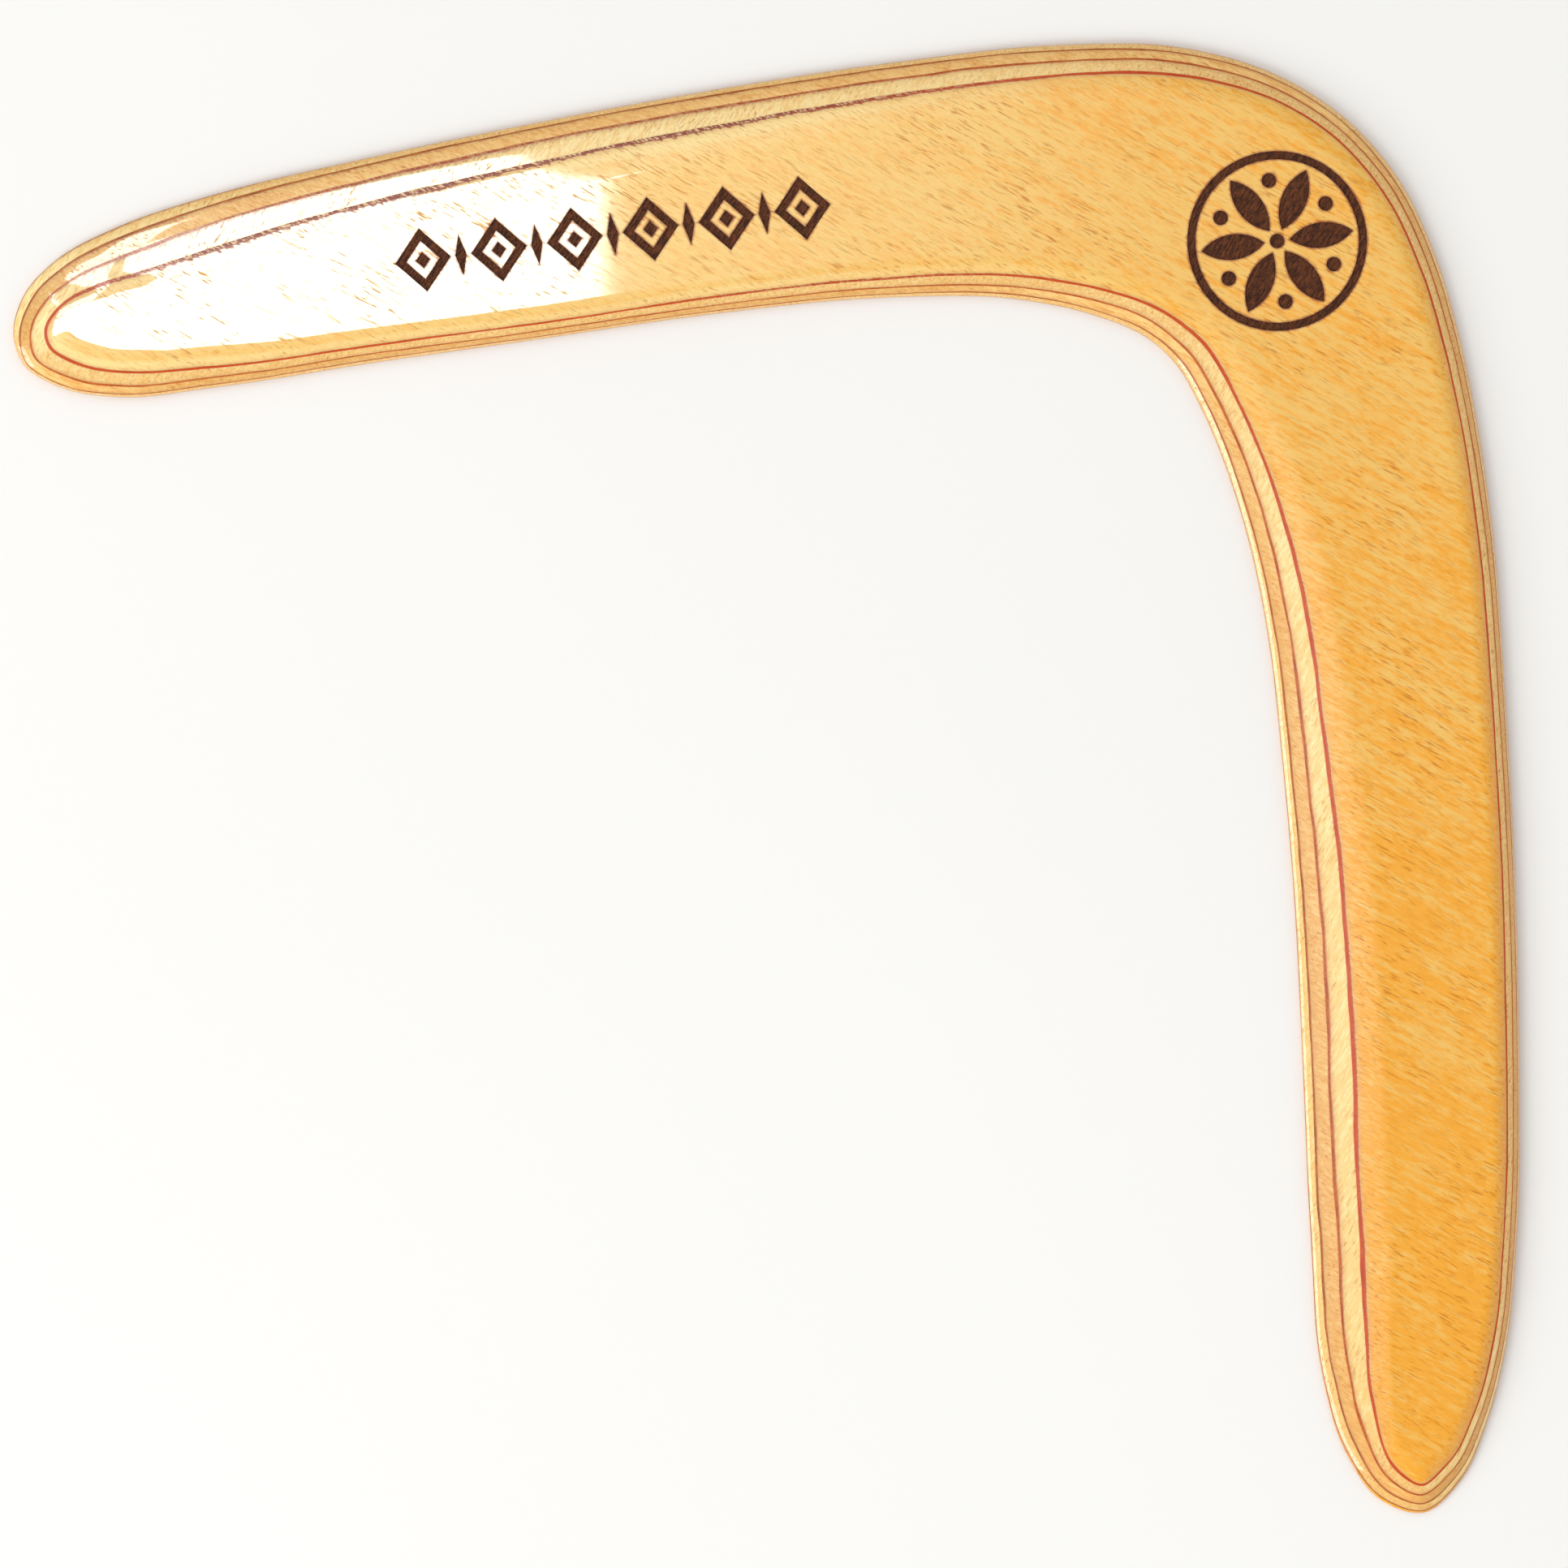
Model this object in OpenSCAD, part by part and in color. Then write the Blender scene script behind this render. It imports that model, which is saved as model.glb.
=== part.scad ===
// Right-handed returning boomerang, cut from plywood of five veneers and four glue films.
//
// It lies on its flat underside. The lift arm runs towards -X and the dingle arm towards -Y,
// and they meet in the elbow at +X +Y. The shaped face looks towards +Z. The origin is in the
// middle of the outline's box, at the height of the underside. All lengths are in millimetres.

/* [Size] */
// Width of the boomerang, from the tip of the lift arm to the rim of the dingle arm
span = 260; // [200:5:400]
// Thickness of the finished plywood
thickness = 5; // [4:0.1:8]
// Thickness of one glue film
film_t = 0.14; // [0.08:0.01:0.2]

/* [Crown] */
// Part of the crown between the face glue film and the flat top that every rim has
crown_base = 1.5; // [1:0.1:1.5]
// Further crown for each millimetre of bevel
crown_rate = 0.6; // [0.3:0.05:0.7]
// Height of the small chamfer around the underside
ease = 0.3; // [0.1:0.05:0.3]

/* [Engraving] */
// Depth of the burnt marks
engrave_depth = 0.25; // [0.1:0.05:0.4]
// Diameter of the rosette at the elbow
rosette_d = 31; // [20:1:31]
// Height of the row of lozenges on the lift arm
band_h = 11; // [6:0.5:11]
// Number of lozenges in the row
lozenges = 6; // [2:1:6]

/* [Hidden] */

// Colours of the woods and the glue
FACE_WOOD = [0.93, 0.71, 0.38];
CORE_WOOD = [0.88, 0.64, 0.33];
PALE_WOOD = [0.95, 0.84, 0.58];
GLUE = [0.58, 0.29, 0.14];

// Heights in the stack
veneers = 5;
films = veneers - 1;
veneer_t = (thickness - films * film_t) / veneers;
bevel_top = thickness - veneer_t - film_t / 2;

// Knots of the rim: X and Y, the width of the bevel out to the face glue film, the height of
// the rim as a part of the thickness, and the power of the bevel's curve. A power of 1 is a
// flat chamfer and one of 2 is well rounded. Trailing edges have the wide bevels.
LIFT_TIP = [-130.0, 76.5, 5.8, 0.18, 1.55];
OUTER_RIM = [
    [-128.3, 83.4, 7.0, 0.18, 1.4],
    [-122.4, 89.8, 8.3, 0.18, 1.4],
    [-112.8, 95.0, 9.2, 0.18, 1.45],
    [-96.5, 100.6, 8.8, 0.18, 1.55],
    [-70.0, 107.0, 7.9, 0.18, 1.8],
    [-40.5, 113.2, 7.0, 0.18, 1.9],
    [-8.0, 119.2, 6.4, 0.18, 1.8],
    [23.0, 123.9, 5.8, 0.18, 1.7],
    [51.0, 126.8, 5.4, 0.18, 1.6],
    [71.0, 126.4, 4.9, 0.18, 1.5],
    [88.0, 121.6, 4.2, 0.18, 1.5],
    [100.2, 113.8, 3.8, 0.18, 1.5],
    [109.2, 103.4, 3.5, 0.18, 1.5],
    [115.1, 91.2, 3.2, 0.18, 1.5],
    [119.4, 77.0, 3.0, 0.18, 1.5],
    [122.7, 61.0, 2.8, 0.18, 1.6],
    [125.4, 42.0, 2.6, 0.18, 1.7],
    [127.5, 14.0, 2.4, 0.18, 1.7],
    [129.1, -15.0, 2.3, 0.18, 1.7],
    [129.9, -48.0, 2.3, 0.18, 1.7],
    [129.5, -79.0, 2.3, 0.17, 1.6],
    [127.5, -98.5, 2.4, 0.14, 1.55],
    [124.1, -111.6, 2.7, 0.11, 1.45],
    [119.9, -120.9, 3.5, 0.09, 1.35]
];
DINGLE_TIP = [113.4, -126.6, 4.9, 0.08, 1.3];
INNER_RIM = [
    [-128.3, 71.7, 5.4, 0.18, 2.1],
    [-122.6, 68.0, 4.8, 0.18, 2.2],
    [-112.0, 66.0, 4.2, 0.18, 2.0],
    [-96.5, 67.5, 3.4, 0.18, 1.8],
    [-68.0, 71.9, 2.8, 0.18, 1.6],
    [-40.0, 75.9, 2.6, 0.18, 1.7],
    [-8.0, 80.5, 2.7, 0.18, 1.7],
    [21.0, 83.2, 3.2, 0.18, 1.7],
    [44.0, 82.8, 3.9, 0.18, 1.6],
    [57.0, 80.0, 4.5, 0.18, 1.6],
    [65.0, 76.7, 5.0, 0.18, 1.6],
    [70.6, 71.8, 5.5, 0.18, 1.6],
    [74.4, 65.4, 5.9, 0.18, 1.6],
    [77.9, 57.6, 6.2, 0.18, 1.6],
    [81.2, 48.2, 6.5, 0.18, 1.6],
    [84.1, 37.6, 6.7, 0.18, 1.6],
    [86.6, 24.5, 7.0, 0.18, 1.6],
    [89.0, 3.5, 7.5, 0.18, 1.6],
    [90.9, -18.0, 8.2, 0.18, 1.6],
    [92.5, -48.0, 8.6, 0.18, 1.6],
    [94.0, -80.0, 8.5, 0.17, 1.6],
    [96.0, -103.0, 8.6, 0.13, 1.65],
    [100.2, -116.6, 7.7, 0.10, 1.55],
    [105.8, -124.2, 6.3, 0.08, 1.4]
];

// The knots in order, from the lift tip over the elbow to the dingle tip and back inside
KNOTS = concat([LIFT_TIP], OUTER_RIM, [DINGLE_TIP], reversed(INNER_RIM));
knot_count = len(KNOTS);
// Points on the rim for each knot
steps = 3;
// Knots from a tip to the place that its rim is shaped around
tip_knots = 3;

// Marks: the middle of the row of lozenges and its slope, and the middle of the rosette
band_at = [-26.5, 94];
band_slope = 7.8;
band_pitch = 13.2;
rosette_at = [88, 92.8];
petals = 6;

function reversed(list) = [for (i = [len(list) - 1:-1:0]) list[i]];

// Distance in the plane from knot a to knot b
function gap(a, b) = norm([b.x - a.x, b.y - a.y]);

// Rate of change per millimetre at knot b, between its neighbours a and c
function rate(a, b, c) =
    let (before = gap(a, b), after = gap(b, c))
    ((c - b) / after * before + (b - a) / before * after) / (before + after);

// Smooth curve from knot b to knot c, at the fraction u of the way, between neighbours a and d
function curve(a, b, c, d, u) =
    let (leave = rate(a, b, c) * gap(b, c), arrive = rate(b, c, d) * gap(b, c))
    b * (2 * u ^ 3 - 3 * u ^ 2 + 1) + c * (3 * u ^ 2 - 2 * u ^ 3)
    + leave * (u ^ 3 - 2 * u ^ 2 + u) + arrive * (u ^ 3 - u ^ 2);

// The rim as drawn, and then centred and brought to the wanted span
DRAWN = [
    for (k = [0:knot_count - 1], s = [0:steps - 1])
        curve(
            KNOTS[(k + knot_count - 1) % knot_count], KNOTS[k],
            KNOTS[(k + 1) % knot_count], KNOTS[(k + 2) % knot_count], s / steps
        )
];
DRAWN_X = [for (p = DRAWN) p[0]];
DRAWN_Y = [for (p = DRAWN) p[1]];
middle = [max(DRAWN_X) + min(DRAWN_X), max(DRAWN_Y) + min(DRAWN_Y)] / 2;
size_factor = span / (max(DRAWN_X) - min(DRAWN_X));
function placed(p) = [(p[0] - middle.x) * size_factor, (p[1] - middle.y) * size_factor];
RIM = [for (p = DRAWN) placed(p)];
BEVEL = [for (p = DRAWN) p[2] * size_factor];
EDGE = [for (p = DRAWN) p[3] * thickness];
POWER = [for (p = DRAWN) p[4]];
n = len(RIM);
half = n / 2;

// Direction square to the rim at point i, into the wood
function inward(i) =
    let (t = RIM[(i + 1) % n] - RIM[(i + n - 1) % n])
    [t.y, -t.x] / norm(t);

// Middle of the arm, abreast of a place that is counted along the rim from the lift tip
function arm_middle(place) =
    let (a = floor(place), f = place - a, b = (a + 1) % n)
    (RIM[a] + RIM[(n - a) % n]) / 2 * (1 - f) + (RIM[b] + RIM[(n - b) % n]) / 2 * f;

// Point in the middle of the arm that rim point i is shaped towards
function aim(i) =
    let (
        along = min(i, n - i),
        from_tip = min(along, half - along),
        reach = 2 * tip_knots * steps,
        held = from_tip < reach ? (from_tip ^ 2 + reach ^ 2) / (2 * reach) : from_tip
    )
    arm_middle(along == from_tip ? held : half - held);

// How far the wood stands back from rim point i at height z
function set_back(i, z) =
    z < ease ? ease - z
    : z <= EDGE[i] ? 0
    : z <= bevel_top ? BEVEL[i] * ((z - EDGE[i]) / (bevel_top - EDGE[i])) ^ POWER[i]
    : BEVEL[i] + (crown_base + crown_rate * BEVEL[i])
        * (1 - sqrt(max(0, 1 - (z - bevel_top) / (thickness - bevel_top))));

// The set back as a part of the way to the middle of the arm, kept below 0.95
free_share = 0.6;
last_share = 0.35;
function kept_share(f) =
    f < free_share ? f : free_share + last_share * (1 - exp((free_share - f) / last_share));

// Closed ring of points around the wood at height z
function ring(z) = [
    for (i = [0:n - 1])
        let (way = aim(i) - RIM[i], f = set_back(i, z) / (way * inward(i)))
        let (p = RIM[i] + way * kept_share(f))
        [p.x, p.y, z]
];

// Flat cap over a ring that starts at point number first, in a ladder from rim to rim
function cap(first, up) = [
    for (i = [0:half - 1])
        let (
            a = first + i, b = first + i + 1,
            c = first + n - i - 1, d = first + (n - i) % n,
            rung = i == 0 ? [a, b, c] : i == half - 1 ? [a, b, d] : [a, b, c, d]
        )
        up ? rung : reversed(rung)
];

// Solid through the rings at the given heights, lowest first
module layer(heights) {
    last = len(heights) - 1;
    points = [for (z = heights) each ring(z)];
    walls = [
        for (r = [0:last - 1], i = [0:n - 1])
            let (a = r * n + i, b = r * n + (i + 1) % n)
            each [[a, b, b + n], [a, b + n, a + n]]
    ];
    polyhedron(points, concat(cap(0, false), walls, cap(last * n, true)), convexity = 6);
}

// Height of the bottom of veneer number k, counted from the underside
function veneer_bottom(k) = k * (veneer_t + film_t);

// Straight-sided veneer with one ring halfway up, and the glue film on top of veneer k
module crossply(k) {
    low = veneer_bottom(k);
    layer([low, low + veneer_t / 2, low + veneer_t]);
}
module film(k) {
    low = veneer_bottom(k) + veneer_t;
    layer([low, low + film_t]);
}

// Lozenge with these half diagonals
module diamond(wide, tall) {
    polygon([[-wide, 0], [0, -tall], [wide, 0], [0, tall]]);
}

// One hollow lozenge with a small solid one in its middle
module lozenge() {
    wide = 0.44 * band_h;
    tall = band_h / 2;
    hollow = 0.6;
    heart = 0.26;
    difference() {
        diamond(wide, tall);
        diamond(hollow * wide, hollow * tall);
    }
    diamond(heart * wide, heart * tall);
}

// Row of lozenges along the lift arm, with a slim solid one between each two
module band() {
    first = -(lozenges - 1) / 2 * band_pitch;
    for (i = [0:lozenges - 1])
        translate([first + i * band_pitch, 0]) lozenge();
    for (i = [0:lozenges - 2])
        translate([first + (i + 0.5) * band_pitch, 0]) diamond(0.09 * band_h, 0.32 * band_h);
}

// Pointed petal that lies along +X, between the radii from and to
module petal(from, to) {
    plump = 0.4;
    long = to - from;
    radius = long * (1 + plump ^ 2) / (4 * plump);
    offset_y = radius - long * plump / 2;
    translate([(from + to) / 2, 0])
        intersection() {
            translate([0, offset_y]) circle(r = radius, $fn = 96);
            translate([0, -offset_y]) circle(r = radius, $fn = 96);
        }
}

// Rosette of petals, with dots between them and a ring around them
module rosette() {
    outer = rosette_d / 2;
    difference() {
        circle(r = outer, $fn = 96);
        circle(r = 0.91 * outer, $fn = 96);
    }
    for (i = [0:petals - 1]) {
        rotate(i * 360 / petals) petal(0.14 * outer, 0.85 * outer);
        rotate((i + 0.5) * 360 / petals)
            translate([0.68 * outer, 0]) circle(r = 0.08 * outer, $fn = 32);
    }
    circle(r = 0.08 * outer, $fn = 32);
}

module marks() {
    translate([0, 0, thickness - engrave_depth])
        linear_extrude(2 * engrave_depth) {
            translate(placed(band_at)) rotate(band_slope) band();
            translate(placed(rosette_at)) rotate(band_slope) rosette();
        }
}

// Top veneer, crowned towards its rim and engraved
module face_veneer() {
    crown_rings = 5;
    low = veneer_bottom(4);
    crown = [
        for (s = [1:crown_rings])
            bevel_top + (thickness - bevel_top) * (1 - (1 - s / crown_rings) ^ 2)
    ];
    color(FACE_WOOD) difference() {
        layer(concat([low], crown));
        marks();
    }
}

module face_glue_film() { color(GLUE) film(3); }
module upper_crossband() { color(PALE_WOOD) crossply(3); }
module upper_glue_film() { color(GLUE) film(2); }
module core_veneer() { color(CORE_WOOD) crossply(2); }
module lower_glue_film() { color(GLUE) film(1); }
module lower_crossband() { color(PALE_WOOD) crossply(1); }
module back_glue_film() { color(GLUE) film(0); }

// Bottom veneer, flat underneath and chamfered around the underside
module back_veneer() {
    color(FACE_WOOD) layer([0, ease, (ease + veneer_t) / 2, veneer_t]);
}

face_veneer();
face_glue_film();
upper_crossband();
upper_glue_film();
core_veneer();
lower_glue_film();
lower_crossband();
back_glue_film();
back_veneer();
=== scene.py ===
"""Looks of a plywood boomerang: five lacquered veneers, four glue films and burnt marks."""

import logging
import math
from collections.abc import Sequence
from dataclasses import dataclass, field
from enum import Enum

import bmesh
import bpy
import numpy as np
from mathutils import Matrix, Quaternion, Vector
from mathutils.geometry import delaunay_2d_cdt
from mathutils.kdtree import KDTree


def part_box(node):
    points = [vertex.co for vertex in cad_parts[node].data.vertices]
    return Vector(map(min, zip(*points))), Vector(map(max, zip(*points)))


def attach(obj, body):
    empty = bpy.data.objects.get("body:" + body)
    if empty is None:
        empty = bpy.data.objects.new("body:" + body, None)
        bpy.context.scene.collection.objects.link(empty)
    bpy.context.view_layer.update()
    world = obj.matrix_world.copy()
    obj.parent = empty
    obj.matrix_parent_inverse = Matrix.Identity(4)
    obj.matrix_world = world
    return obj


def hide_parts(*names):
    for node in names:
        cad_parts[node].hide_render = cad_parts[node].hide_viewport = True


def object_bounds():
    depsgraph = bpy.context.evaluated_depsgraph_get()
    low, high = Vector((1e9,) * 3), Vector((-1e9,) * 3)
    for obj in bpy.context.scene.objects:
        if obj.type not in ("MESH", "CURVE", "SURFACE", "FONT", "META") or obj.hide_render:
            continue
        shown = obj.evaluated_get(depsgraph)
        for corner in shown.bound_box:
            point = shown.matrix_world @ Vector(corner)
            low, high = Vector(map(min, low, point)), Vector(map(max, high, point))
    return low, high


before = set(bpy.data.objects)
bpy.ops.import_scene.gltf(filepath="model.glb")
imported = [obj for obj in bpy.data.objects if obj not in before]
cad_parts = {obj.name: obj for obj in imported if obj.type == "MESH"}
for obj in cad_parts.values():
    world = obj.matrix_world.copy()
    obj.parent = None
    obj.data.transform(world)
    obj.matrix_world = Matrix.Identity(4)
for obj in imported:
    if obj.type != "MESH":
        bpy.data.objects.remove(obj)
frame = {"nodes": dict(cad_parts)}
cad_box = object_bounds()

LOG = logging.getLogger("boomerang")
MM = 0.001
WELD = 2e-6
BODY = "root"
GRIT_SEED, STRAY_SEED, SWELL_SEED = 7, 10, 20
WAVES, SHORTEST_WAVE, LONGEST_WAVE = 40, 6 * MM, 70 * MM

Points = np.ndarray
Colour = tuple[float, float, float]
Size = tuple[float, float, float]
Span = tuple[float, float]
Socket = bpy.types.NodeSocket
Material = bpy.types.Material


# ---------------------------------------------------------------- shader building


def tone(red: int, green: int, blue: int) -> Colour:
    """Turns a colour as a screen shows it, 0 to 255 a channel, into a linear one.

    Args:
        red: Red channel.
        green: Green channel.
        blue: Blue channel.

    Returns:
        The linear colour, 0 to 1 a channel.
    """
    shares = [channel / 255 for channel in (red, green, blue)]
    return tuple(
        share / 12.92 if share <= 0.04045 else ((share + 0.055) / 1.055) ** 2.4
        for share in shares
    )


class Field:
    """A number that varies over a surface: one output socket that takes part in sums."""

    def __init__(self, shader: "Shader", socket: Socket) -> None:
        """Wraps a socket of the shader.

        Args:
            shader: Shader that the socket belongs to.
            socket: Output socket that gives the number.
        """
        self.shader = shader
        self.socket = socket

    def _math(self, operation: str, *values: "Field | float") -> "Field":
        """Adds a Math node that works on the values.

        Args:
            operation: Name of the Math node's operation.
            values: The node's inputs in order.

        Returns:
            The node's result.
        """
        inputs = {place: getattr(value, "socket", value) for place, value in enumerate(values)}
        node = self.shader.node("ShaderNodeMath", {"operation": operation}, inputs)
        return Field(self.shader, node.outputs[0])

    def __add__(self, other: "Field | float") -> "Field":
        """Sum."""
        return self._math("ADD", self, other)

    def __sub__(self, other: "Field | float") -> "Field":
        """Difference."""
        return self._math("SUBTRACT", self, other)

    def __rsub__(self, other: float) -> "Field":
        """Difference from a number."""
        return self._math("SUBTRACT", other, self)

    def __mul__(self, other: "Field | float") -> "Field":
        """Product."""
        return self._math("MULTIPLY", self, other)

    def __truediv__(self, other: "Field | float") -> "Field":
        """Quotient."""
        return self._math("DIVIDE", self, other)

    def __abs__(self) -> "Field":
        """Size without the sign."""
        return self._math("ABSOLUTE", self)

    __radd__ = __add__
    __rmul__ = __mul__

    def larger(self, other: "Field | float") -> "Field":
        """The larger of the two."""
        return self._math("MAXIMUM", self, other)

    def ramp(self, start: float, end: float) -> "Field":
        """Rises smoothly from 0 at start to 1 at end, or falls where end is the lower.

        Args:
            start: Value that gives 0.
            end: Value that gives 1.

        Returns:
            The share from 0 to 1.
        """
        low, high = min(start, end), max(start, end)
        node = self.shader.node(
            "ShaderNodeMapRange",
            {"interpolation_type": "SMOOTHSTEP"},
            {"Value": self.socket, "From Min": low, "From Max": high},
        )
        share = Field(self.shader, node.outputs["Result"])
        return share if start < end else 1 - share


class Shader:
    """The node tree of one material, which writes its own nodes and links."""

    def __init__(self, name: str) -> None:
        """Makes an empty material.

        Args:
            name: The material's name.
        """
        self.material = bpy.data.materials.new(name)
        self.material.use_nodes = True
        self.tree = self.material.node_tree
        self.tree.nodes.clear()

    def node(self, kind: str, settings: dict | None = None, inputs: dict | None = None) -> bpy.types.Node:
        """Adds a node, sets its settings and then its sockets.

        Args:
            kind: The node's type.
            settings: Its settings by name.
            inputs: Values or output sockets, by the input's name or place.

        Returns:
            The new node.
        """
        made = self.tree.nodes.new(kind)
        for name, value in (settings or {}).items():
            setattr(made, name, value)
        for key, value in (inputs or {}).items():
            value = getattr(value, "socket", value)
            if isinstance(value, Socket):
                self.tree.links.new(value, made.inputs[key])
            elif isinstance(value, tuple) and made.inputs[key].type == "RGBA":
                made.inputs[key].default_value = (*value, 1.0)
            else:
                made.inputs[key].default_value = value
        return made

    def attribute(self, name: str) -> Field:
        """Number that the mesh holds under this name."""
        node = self.node("ShaderNodeAttribute", {"attribute_name": name})
        return Field(self, node.outputs["Fac"])

    def scaled(self, vector: Socket, size: Sequence[float]) -> Socket:
        """Vector divided by a size along each axis."""
        node = self.node("ShaderNodeVectorMath", {"operation": "DIVIDE"}, {0: vector, 1: tuple(size)})
        return node.outputs["Vector"]

    def noise(self, vector: Socket, size: Sequence[float], detail: float, rough: float) -> Field:
        """Cloudy noise around 0.5, with spots of about the given size.

        Args:
            vector: Coordinates.
            size: Size of a spot along each axis.
            detail: How many finer layers it has.
            rough: How strong the finer layers are.

        Returns:
            The noise.
        """
        node = self.node(
            "ShaderNodeTexNoise",
            None,
            {"Vector": self.scaled(vector, size), "Scale": 1.0, "Detail": detail, "Roughness": rough},
        )
        return Field(self, node.outputs["Fac"])

    def cells(self, vector: Socket, size: Sequence[float]) -> tuple[Field, Field]:
        """Scattered cells of the given size.

        Args:
            vector: Coordinates.
            size: Size of a cell along each axis.

        Returns:
            The distance from a cell's own point, and a random number for the cell.
        """
        node = self.node("ShaderNodeTexVoronoi", None, {"Vector": self.scaled(vector, size), "Scale": 1.0})
        split = self.node("ShaderNodeSeparateColor", None, {0: node.outputs["Color"]})
        return Field(self, node.outputs["Distance"]), Field(self, split.outputs[0])

    def mixed(self, first: Colour | Socket, second: Colour | Socket, share: Field) -> Socket:
        """Colour that goes from the first to the second as the share goes from 0 to 1."""
        node = self.node("ShaderNodeMix", {"data_type": "RGBA"}, {0: share, 6: first, 7: second})
        return node.outputs[2]

    def bump(self, height: Field, distance: float, normal: Socket | None = None) -> Socket:
        """Normal of a surface with bumps on it.

        Args:
            height: Height of the bumps.
            distance: What a height of 1 stands for, in metres.
            normal: Normal of the surface under them.

        Returns:
            The normal.
        """
        inputs = {"Height": height, "Distance": distance, "Strength": 1.0}
        if normal is not None:
            inputs["Normal"] = normal
        return self.node("ShaderNodeBump", None, inputs).outputs["Normal"]

    def finished(self, inputs: dict) -> Material:
        """Ends the tree in a Principled shader.

        Args:
            inputs: Values or links of its sockets by name.

        Returns:
            The material.
        """
        surface = self.node("ShaderNodeBsdfPrincipled", None, inputs)
        self.node("ShaderNodeOutputMaterial", None, {"Surface": surface.outputs["BSDF"]})
        return self.material


class Place:
    """Where a shader is on the boomerang: coordinates in millimetres and its normal."""

    def __init__(self, shader: Shader) -> None:
        """Sets up the coordinates.

        Args:
            shader: The shader.
        """
        self.shader = shader
        coordinates = shader.node("ShaderNodeTexCoord")
        self.in_mm = shader.scaled(coordinates.outputs["Object"], (MM, MM, MM))
        self.normal = coordinates.outputs["Normal"]
        split = shader.node("ShaderNodeSeparateXYZ", None, {0: self.in_mm})
        self.x = Field(shader, split.outputs["X"])
        self.y = Field(shader, split.outputs["Y"])

    def turned(self, degrees: float) -> Socket:
        """Coordinates whose X runs this many degrees from +X towards +Y.

        Args:
            degrees: The angle.

        Returns:
            The coordinates.
        """
        settings = {"rotation_type": "Z_AXIS"}
        inputs = {"Vector": self.in_mm, "Angle": -math.radians(degrees)}
        return self.shader.node("ShaderNodeVectorRotate", settings, inputs).outputs["Vector"]

    def facing(self, way: Sequence[float]) -> Field:
        """How squarely the surface faces this way, from 1 to -1.

        Args:
            way: The direction, of length 1.

        Returns:
            The cosine of the angle between the two.
        """
        settings = {"operation": "DOT_PRODUCT"}
        node = self.shader.node("ShaderNodeVectorMath", settings, {0: self.normal, 1: tuple(way)})
        return Field(self.shader, node.outputs["Value"])

    def torn(self) -> Field:
        """1 on the trailing side of the lift arm, where sanding tore the fibres, and 0 elsewhere."""
        return self.x.ramp(60, -10) * self.y.ramp(80, 92)


# ---------------------------------------------------------------- finishes


class Grain(Enum):
    """Which way a veneer's grain runs, as degrees from +X towards +Y."""

    ALONG = -29.0
    ACROSS = 61.0


@dataclass(frozen=True)
class Lacquer:
    """Clear gloss lacquer, sprayed thin, so that it follows the pores.

    Attributes:
        sheen: Strength of the wood's own sheen under it.
        roughness: Roughness of that sheen.
        worn: Further roughness in the pores.
        coat: Weight of the gloss.
        least: Share of the gloss that is left in the deepest pores.
        coat_roughness: Roughness of the gloss.
        ior: Refractive index.
        ripple: Height of the orange peel in metres.
        relief: Height of the raised fibres in metres.
    """

    sheen: float = 0.12
    roughness: float = 0.3
    worn: float = 0.12
    coat: float = 0.95
    least: float = 0.05
    coat_roughness: float = 0.035
    ior: float = 1.5
    ripple: float = 0.000012
    relief: float = 0.00007


@dataclass(frozen=True)
class Tones:
    """Colours of one kind of veneer.

    Attributes:
        light: Colour of the light wood.
        deep: Colour of the deeper streaks and clouds.
        end: Colour where the bevel cuts across the fibres.
    """

    light: Colour
    deep: Colour
    end: Colour


BRUISED = tone(122, 62, 50)
FACE_TONES = Tones(tone(241, 192, 94), tone(245, 168, 26), tone(228, 162, 80))
PALE_TONES = Tones(tone(255, 233, 166), tone(248, 208, 128), tone(228, 172, 92))
CORE_TONES = Tones(tone(250, 206, 128), tone(236, 172, 86), tone(216, 160, 82))


@dataclass(frozen=True)
class Figure:
    """Sizes of the wood's markings in millimetres: along the grain, across it and in depth.

    Attributes:
        cloud: Broad bands.
        streak: Long streaks.
        fibre: Single fibres.
        fleck: Short open pores.
        dash: Long open pores.
        patch: Areas with more pores or fewer.
        mottle: Blotches, which don't follow the grain.
        peel: The lacquer's orange peel, which doesn't either.
        wave: The lacquer's slow waves, which don't either.
    """

    cloud: Size = (30, 13, 9)
    streak: Size = (14, 1.2, 1.2)
    fibre: Size = (2.4, 0.5, 0.4)
    fleck: Size = (2.8, 0.32, 0.32)
    dash: Size = (3.6, 0.5, 0.5)
    patch: Size = (17, 9, 9)
    mottle: Size = (4.5, 4.5, 4.5)
    peel: Size = (1.3, 1.3, 1.3)
    wave: Size = (16, 16, 16)


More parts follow.
